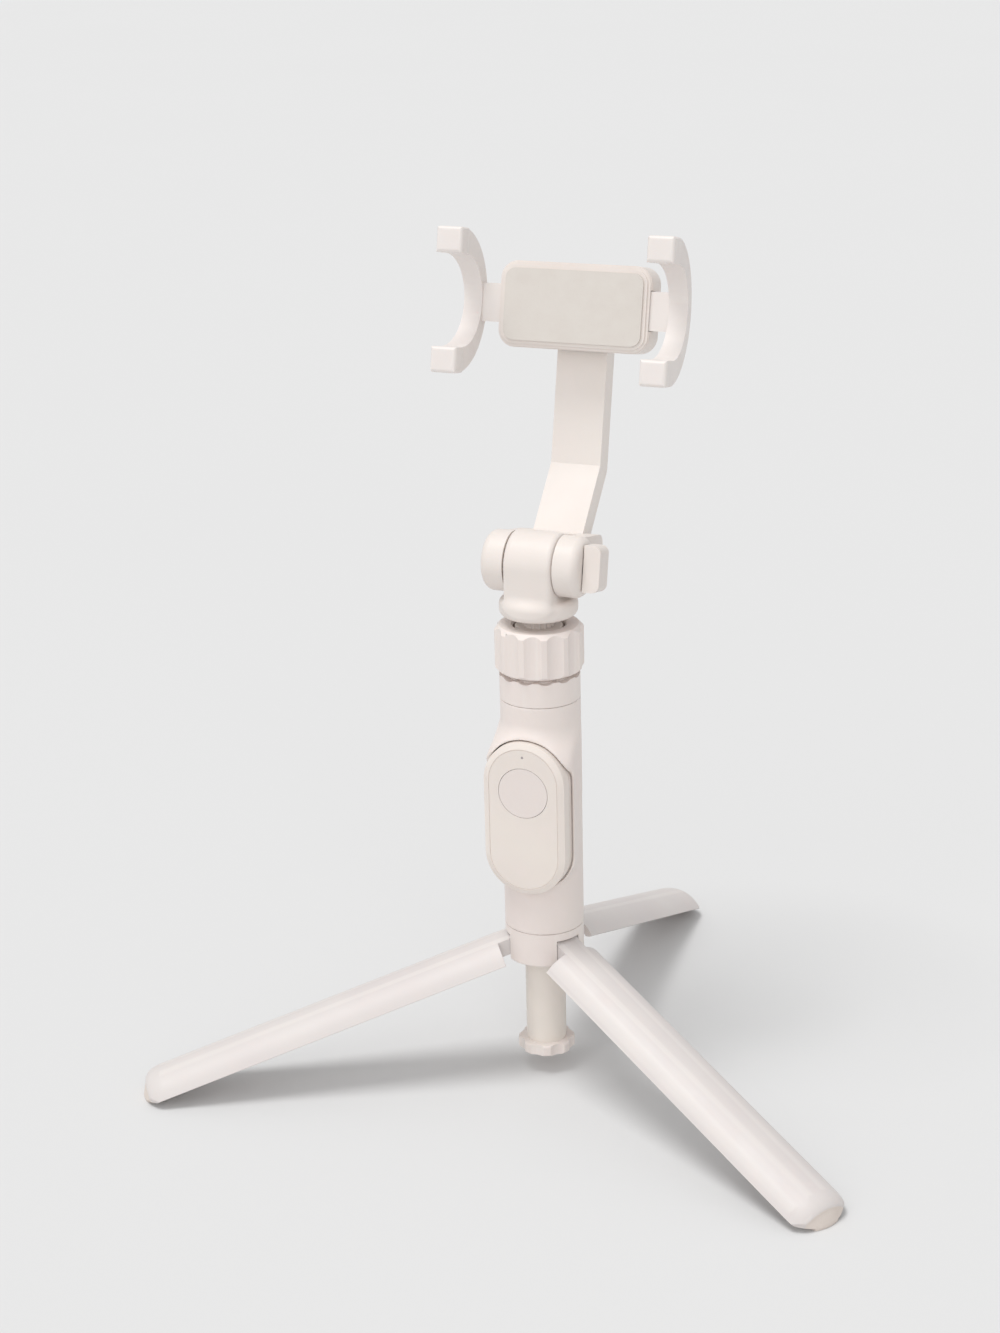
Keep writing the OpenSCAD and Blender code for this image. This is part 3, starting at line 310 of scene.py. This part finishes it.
# Painted studio floor: even, pale and matt
FLOOR = studio_floor("painted_studio_floor")

FINISH = {
    BODY: "hub end_cap casing collar lock_ring",
    HEAD: "head_base clamp_arm wing_knob clamp_housing clamp_cover",
    CLAW: "jaw_left jaw_right",
    LEG: "leg_rear leg_left leg_right",
    REMOTE: "remote_front remote_back",
    BUTTON: "remote_button",
    ACETAL: "friction_sleeve_1 friction_sleeve_2 friction_sleeve_3 friction_sleeve_4 friction_disc",
    PAINT: "mast_tube",
    STAINLESS: "mast_section_1 mast_section_2 mast_section_3 mast_section_4",
    ZINC: "leg_pins hub_screws cover_screws tilt_bolt knob_washer swivel_screw head_stud",
    SPRING: "jaw_spring_left jaw_spring_right",
    NICKEL: "remote_cell remote_switch",
    FOOT: "foot_rear foot_left foot_right",
    PAD: "clamp_pad",
    BOARD: "remote_board",
    CLEAR: "remote_light",
}
for material, names in FINISH.items():
    for name in names.split():
        mesh = NODES[name].data
        mesh.materials.clear()
        mesh.materials.append(material)


def smooth_max(a, b, k):
    """The larger of two distances, rounded over where they are within k."""
    return np.maximum(a, b) + np.maximum(k - np.abs(a - b), 0) ** 2 / (4 * k)


def smooth_min(a, b, k):
    """The smaller of two distances, filled in where they are within k."""
    return -smooth_max(-a, -b, k)


# Steps along the slope that bring every vertex of a faired mesh onto its surface
SURFACE_STEPS = 2
# Length over which the slope is taken and the longest step, as shares of a cell
SLOPE_SHARE, STEP_SHARE = 1 / 50, 1 / 3
# Least square of the slope that a step divides by
SLOPE_FLOOR = 0.25
# Edges sharper than this stay sharp, in degrees
FAIRED_SHARP = 50


def mesh_of(name, distance, low, high, cell):
    """A mesh of the surface where a distance is zero, one vertex to each cell that it crosses.

    Distances and places are in mm around the mast's axis."""
    counts = [int(math.ceil((b - a) / cell)) + 1 for a, b in zip(low, high)]
    grid = np.meshgrid(*(a + cell * np.arange(n) for a, n in zip(low, counts)), indexing="ij")
    field = distance(*grid)
    shape = [n - 1 for n in counts]

    def corner(offset):
        return field[tuple(slice(o, n + o) for o, n in zip(offset, shape))]

    total = np.zeros((3, *shape))
    crossings = np.zeros(shape)
    for axis in range(3):
        for offset in itertools.product((0, 1), repeat=3):
            if offset[axis]:
                continue
            a = corner(offset)
            b = corner([o + (k == axis) for k, o in enumerate(offset)])
            cross = (a < 0) != (b < 0)
            part = np.where(cross, a / np.where(cross, a - b, 1), 0)
            crossings += cross
            for k in range(3):
                total[k] += cross * offset[k] + (part if k == axis else 0)
    used = crossings > 0
    index = np.full(shape, -1)
    index[used] = np.arange(used.sum())
    points = np.array(low)[:, None] + cell * (np.argwhere(used).T + total[:, used] / crossings[used])
    step_l = cell * SLOPE_SHARE
    for _ in range(SURFACE_STEPS):
        value = distance(*points)
        slope = np.array([(distance(*(points + step_l * np.eye(3)[k][:, None])) - value) / step_l
                          for k in range(3)])
        step = value * slope / np.maximum((slope ** 2).sum(axis=0), SLOPE_FLOOR)
        points = points - np.clip(step, -cell * STEP_SHARE, cell * STEP_SHARE)
    faces = []
    for axis in range(3):
        u, v = (axis + 1) % 3, (axis + 2) % 3
        ends = [slice(None)] * 3
        ends[u], ends[v] = slice(1, -1), slice(1, -1)
        first, second = list(ends), list(ends)
        first[axis], second[axis] = slice(None, -1), slice(1, None)
        first, second = field[tuple(first)] < 0, field[tuple(second)] < 0
        quads = []
        for du, dv in ((0, 0), (1, 0), (1, 1), (0, 1)):
            cells = [slice(None)] * 3
            cells[u] = slice(du, shape[u] - 1 + du)
            cells[v] = slice(dv, shape[v] - 1 + dv)
            quads.append(index[tuple(cells)])
        quads = np.stack(quads, axis=-1)
        faces.append(quads[first & ~second])
        faces.append(quads[second & ~first][:, ::-1])
    mesh = bpy.data.meshes.new(name)
    points = points.T * MM + np.array((0, MAST_Y, 0))
    mesh.from_pydata(points.tolist(), [], np.concatenate(faces).tolist())
    mesh.polygons.foreach_set("use_smooth", [True] * len(mesh.polygons))
    mesh.set_sharp_from_angle(angle=math.radians(FAIRED_SHARP))
    obj = bpy.data.objects.new(name, mesh)
    bpy.context.scene.collection.objects.link(obj)
    return obj


# Casing: the same sizes as its solid, in mm around the mast's axis, with the
# shoulder above the remote faired into the round body and its rim softened
BODY_R = 13.7
BORE_R = 11.9
CASING_LOW, CASING_HIGH = 56.3, 139.2
REMOTE_Z = 100.2
REMOTE_ARC = 12.9
POCKET_R = 15.0
POCKET_BACK = 9.2
POCKET_WALL = 1.6
RIM_R = 15.8
RIM_FRONT = 10.2
FLANK_HALF = 13.6
FLANK_SLOPE = (RIM_R - FLANK_HALF) / RIM_FRONT
SHOULDER_FRONT = 14.8
SHOULDER_R = 15.6
SHOULDER_SLOPE = 0.4
SHOULDER_LOW = 7.4
SHOULDER_FALL = 0.94
BOSS_REACH, BOSS_R, BOSS_HOLE_R, BOSS_H = 9.75, 2.55, 0.9, 10.0
BOSS_AZIMUTHS = (30, 150, 270)
# Widths of the blends, from the crisp rim to the sweep of the shoulder into the body
RIM_BLEND, SHOULDER_EDGE, SHOULDER_SIDE, SHOULDER_TOP, BODY_BLEND = 0.5, 1.2, 2.0, 3.0, 3.5
RIM_TO_BODY = 1.2
# Farther than any place on the part
FAR = 1e3
# The box that is meshed, and the size of its cells
CASING_GRID_LOW = (-17.2, -16.0, CASING_LOW - 0.6)
CASING_GRID_HIGH = (17.2, 14.6, CASING_HIGH + 0.6)
CASING_CELL = 0.45


def casing_distance(x, y, z):
    """Distance from the casing's surface, negative inside the plastic."""
    from_axis = np.hypot(x, y)
    side = (np.abs(x) - FLANK_HALF + FLANK_SLOPE * y) / math.hypot(1, FLANK_SLOPE)
    side = np.maximum(side, y)
    across = np.hypot(x, np.maximum(np.abs(z - REMOTE_Z) - REMOTE_ARC, 0))
    rim = smooth_max(smooth_max(across - RIM_R, -y - RIM_FRONT, RIM_BLEND), side, RIM_BLEND)
    up = z - REMOTE_Z - REMOTE_ARC
    cone = np.hypot(x, np.maximum(up, 0)) - SHOULDER_R - SHOULDER_SLOPE * (SHOULDER_FRONT + y)
    cone = cone / math.hypot(1, SHOULDER_SLOPE)
    low = SHOULDER_LOW - SHOULDER_FALL * (y + SHOULDER_FRONT) - up
    low = low / math.hypot(1, SHOULDER_FALL)
    brow_side = smooth_max(cone, side, SHOULDER_SIDE)
    brow_top = smooth_max(-y - SHOULDER_FRONT, low, SHOULDER_TOP)
    brow = smooth_max(brow_side, brow_top, SHOULDER_EDGE)
    solid = smooth_min(smooth_min(from_axis - BODY_R, brow, BODY_BLEND), rim, RIM_TO_BODY)
    pocket = np.maximum(across - POCKET_R, y + POCKET_BACK)
    solid = smooth_max(solid, -pocket, RIM_BLEND)
    behind = np.maximum(y + POCKET_BACK - POCKET_WALL, np.abs(z - REMOTE_Z) - REMOTE_ARC - RIM_R)
    bore = np.maximum(from_axis - BORE_R, -behind)
    holes = np.full_like(x, FAR)
    for azimuth in BOSS_AZIMUTHS:
        turn = math.radians(azimuth)
        from_boss = np.hypot(x - BOSS_REACH * math.cos(turn), y - BOSS_REACH * math.sin(turn))
        bore = np.maximum(bore, -np.maximum(from_boss - BOSS_R, z - CASING_LOW - BOSS_H))
        holes = np.minimum(holes, np.maximum(from_boss - BOSS_HOLE_R, z - CASING_LOW - BOSS_H))
    solid = np.maximum(np.maximum(solid, -bore), -holes)
    return np.maximum(solid, np.maximum(CASING_LOW - z, z - CASING_HIGH))


casing = mesh_of("casing_shell", casing_distance, CASING_GRID_LOW, CASING_GRID_HIGH, CASING_CELL)
casing.data.materials.append(BODY)
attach(casing, "stand")
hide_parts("casing")

# Head base: its flange and tongue, blended into each other, with the ribbed neck
# and the disc that closes the lock ring's mouth, in mm around the mast's axis
BASE_R, BASE_LOW, BASE_HIGH, BASE_ROUND = 13.3, 168.4, 174.5, 2.2
HINGE_Z = 185.9
TONGUE_R, TONGUE_HALF, TONGUE_BACK, TONGUE_LOW = 11.0, 8.6, 8.0, 172.3
TONGUE_EDGE = 2.2
# A wide fillet at the tongue's front and back, a narrow one where the arm's ears pass its sides
FRONT_FILLET, SIDE_FILLET = 3.1, 2.0
FILLET_INNER = 6.4
NECK_LOW = 164.4
NECK_R, NECK_RIB, NECK_RIBS = 5.05, 0.35, 16
NECK_INTO_BASE = 1
DISC_R, DISC_MID, DISC_HALF, DISC_EDGE = 8.2, 164.0, 0.5, 0.4
STUD_R, STUD_TOP = 3.2, 172.6
STUD_COLLAR_R, STUD_COLLAR_TOP = 4.25, 164.5
BOLT_R = 2.05
HEAD_GRID_LOW = (-13.9, -13.9, NECK_LOW - 1.5)
HEAD_GRID_HIGH = (13.9, 13.9, 197.5)
HEAD_CELL = 0.4


def head_distance(x, y, z):
    """Distance from the head base's surface, negative inside the plastic."""
    from_axis = np.hypot(x, y)
    out = from_axis - BASE_R + BASE_ROUND
    up = np.abs(z - (BASE_LOW + BASE_HIGH) / 2) - (BASE_HIGH - BASE_LOW) / 2 + BASE_ROUND
    base = np.hypot(np.maximum(out, 0), np.maximum(up, 0)) + np.minimum(np.maximum(out, up), 0) - BASE_ROUND
    from_hinge = np.hypot(y, z - HINGE_Z)
    block = np.maximum(np.maximum(-y - TONGUE_R, y - TONGUE_BACK), np.maximum(z - HINGE_Z, TONGUE_LOW - z))
    tongue = smooth_max(np.abs(x) - TONGUE_HALF, np.minimum(from_hinge - TONGUE_R, block), TONGUE_EDGE)
    ribs = NECK_R + NECK_RIB * np.cos(NECK_RIBS * np.arctan2(y, x))
    neck = np.maximum(from_axis - ribs, np.maximum(NECK_LOW - z, z - BASE_LOW - NECK_INTO_BASE))
    disc = smooth_max(from_axis - DISC_R, np.abs(z - DISC_MID) - DISC_HALF, DISC_EDGE)
    fillet = np.interp(np.abs(x), (FILLET_INNER, TONGUE_HALF), (FRONT_FILLET, SIDE_FILLET))
    solid = np.minimum(smooth_min(base, tongue, fillet), np.minimum(neck, disc))
    bores = np.minimum(np.maximum(from_axis - STUD_R, z - STUD_TOP),
                       np.maximum(from_axis - STUD_COLLAR_R, z - STUD_COLLAR_TOP))
    return np.maximum(solid, -np.minimum(bores, from_hinge - BOLT_R))


head = mesh_of("head_flange", head_distance, HEAD_GRID_LOW, HEAD_GRID_HIGH, HEAD_CELL)
head.data.materials.append(HEAD)
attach(head, "head")
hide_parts("head_base")

# Edge rounding of the moulded pieces, in mm
ROUNDING = {
    "jaw_left": 1.3, "jaw_right": 1.3, "clamp_arm": 0.6, "wing_knob": 1.8,
    "clamp_housing": 0.35, "clamp_cover": 0.4, "clamp_pad": 0.3,
    "collar": 0.25, "hub": 0.25, "lock_ring": 0.8, "end_cap": 0.3,
    "leg_rear": 0.45, "leg_left": 0.45, "leg_right": 0.45,
    "foot_rear": 0.35, "foot_left": 0.35, "foot_right": 0.35,
    "remote_front": 0.12, "remote_back": 0.15, "remote_button": 0.12, "mast_tube": 0.15,
}
# Only edges sharper than this are rounded, in degrees
ROUNDED_FROM = 30
ROUNDING_SEGMENTS = 3
NORMAL_WEIGHT = 80
# The solids' faces meet in split vertices, which are joined first, in metres
WELD_DISTANCE = 1e-6
for name, width in ROUNDING.items():
    obj = NODES[name]
    weld = obj.modifiers.new("weld", "WELD")
    weld.merge_threshold = WELD_DISTANCE
    bevel = obj.modifiers.new("rounding", "BEVEL")
    bevel.width = width * MM
    bevel.segments = ROUNDING_SEGMENTS
    bevel.limit_method = "ANGLE"
    bevel.angle_limit = math.radians(ROUNDED_FROM)
    bevel.use_clamp_overlap = True
    bevel.harden_normals = False
    normals = obj.modifiers.new("normals", "WEIGHTED_NORMAL")
    normals.keep_sharp = False
    normals.weight = NORMAL_WEIGHT

# Floor: a pale sheet that fills the picture, half its side in metres
FLOOR_HALF = 25.0
mesh = bpy.data.meshes.new("floor")
mesh.from_pydata([(-FLOOR_HALF, -FLOOR_HALF, 0), (FLOOR_HALF, -FLOOR_HALF, 0),
                  (FLOOR_HALF, FLOOR_HALF, 0), (-FLOOR_HALF, FLOOR_HALF, 0)], [], [(0, 1, 2, 3)])
mesh.materials.append(FLOOR)
floor = bpy.data.objects.new("floor", mesh)
bpy.context.scene.collection.objects.link(floor)

# Light: an even world and two very soft suns, so that the floor stays even
SKY = (0.62, 0.62, 0.62, 1.0)
SKY_STRENGTH = 1.0
# Each sun's name, strength, spread in degrees and the direction that it shines from
SUNS = (
    ("key", 1.45, 26, (-0.2, -0.22, 1.0)),
    ("fill", 0.7, 70, (0.15, -1.0, 0.5)),
)
world = bpy.data.worlds.new("studio")
bpy.context.scene.world = world
world.use_nodes = True
world.node_tree.nodes["Background"].inputs["Color"].default_value = SKY
world.node_tree.nodes["Background"].inputs["Strength"].default_value = SKY_STRENGTH
for name, strength, spread, direction in SUNS:
    light = bpy.data.lights.new(name, "SUN")
    light.energy = strength
    light.angle = math.radians(spread)
    lamp = bpy.data.objects.new(name, light)
    lamp.rotation_euler = Vector(direction).to_track_quat("Z", "Y").to_euler()
    bpy.context.scene.collection.objects.link(lamp)

# Camera: fitted to points measured in the photograph, in mm around the mast's axis
CAM_PLACE = (306.98, -754.88, 431.99)
CAM_RIGHT = (0.92288, 0.38439, -0.0232)
CAM_UP = (-0.1056, 0.31055, 0.94467)
CAM_BACK = (0.37032, -0.86937, 0.32719)
CAM_FOCAL_PX = 2555.6
PHOTO_HEIGHT_PX = 1333
SENSOR_MM = 36.0
CLIP_NEAR, CLIP_FAR = 0.01, 100
camera = bpy.data.cameras.new("camera")
camera.sensor_fit = "VERTICAL"
camera.sensor_height = SENSOR_MM
camera.lens = CAM_FOCAL_PX * SENSOR_MM / PHOTO_HEIGHT_PX
camera.clip_start = CLIP_NEAR
camera.clip_end = CLIP_FAR
eye = bpy.data.objects.new("camera", camera)
place = Matrix((CAM_RIGHT, CAM_UP, CAM_BACK)).transposed().to_4x4()
place.translation = Vector(CAM_PLACE) * MM + Vector((0, MAST_Y, 0))
eye.matrix_world = place
bpy.context.scene.collection.objects.link(eye)
bpy.context.scene.camera = eye
bpy.context.scene.view_settings.view_transform = "Standard"
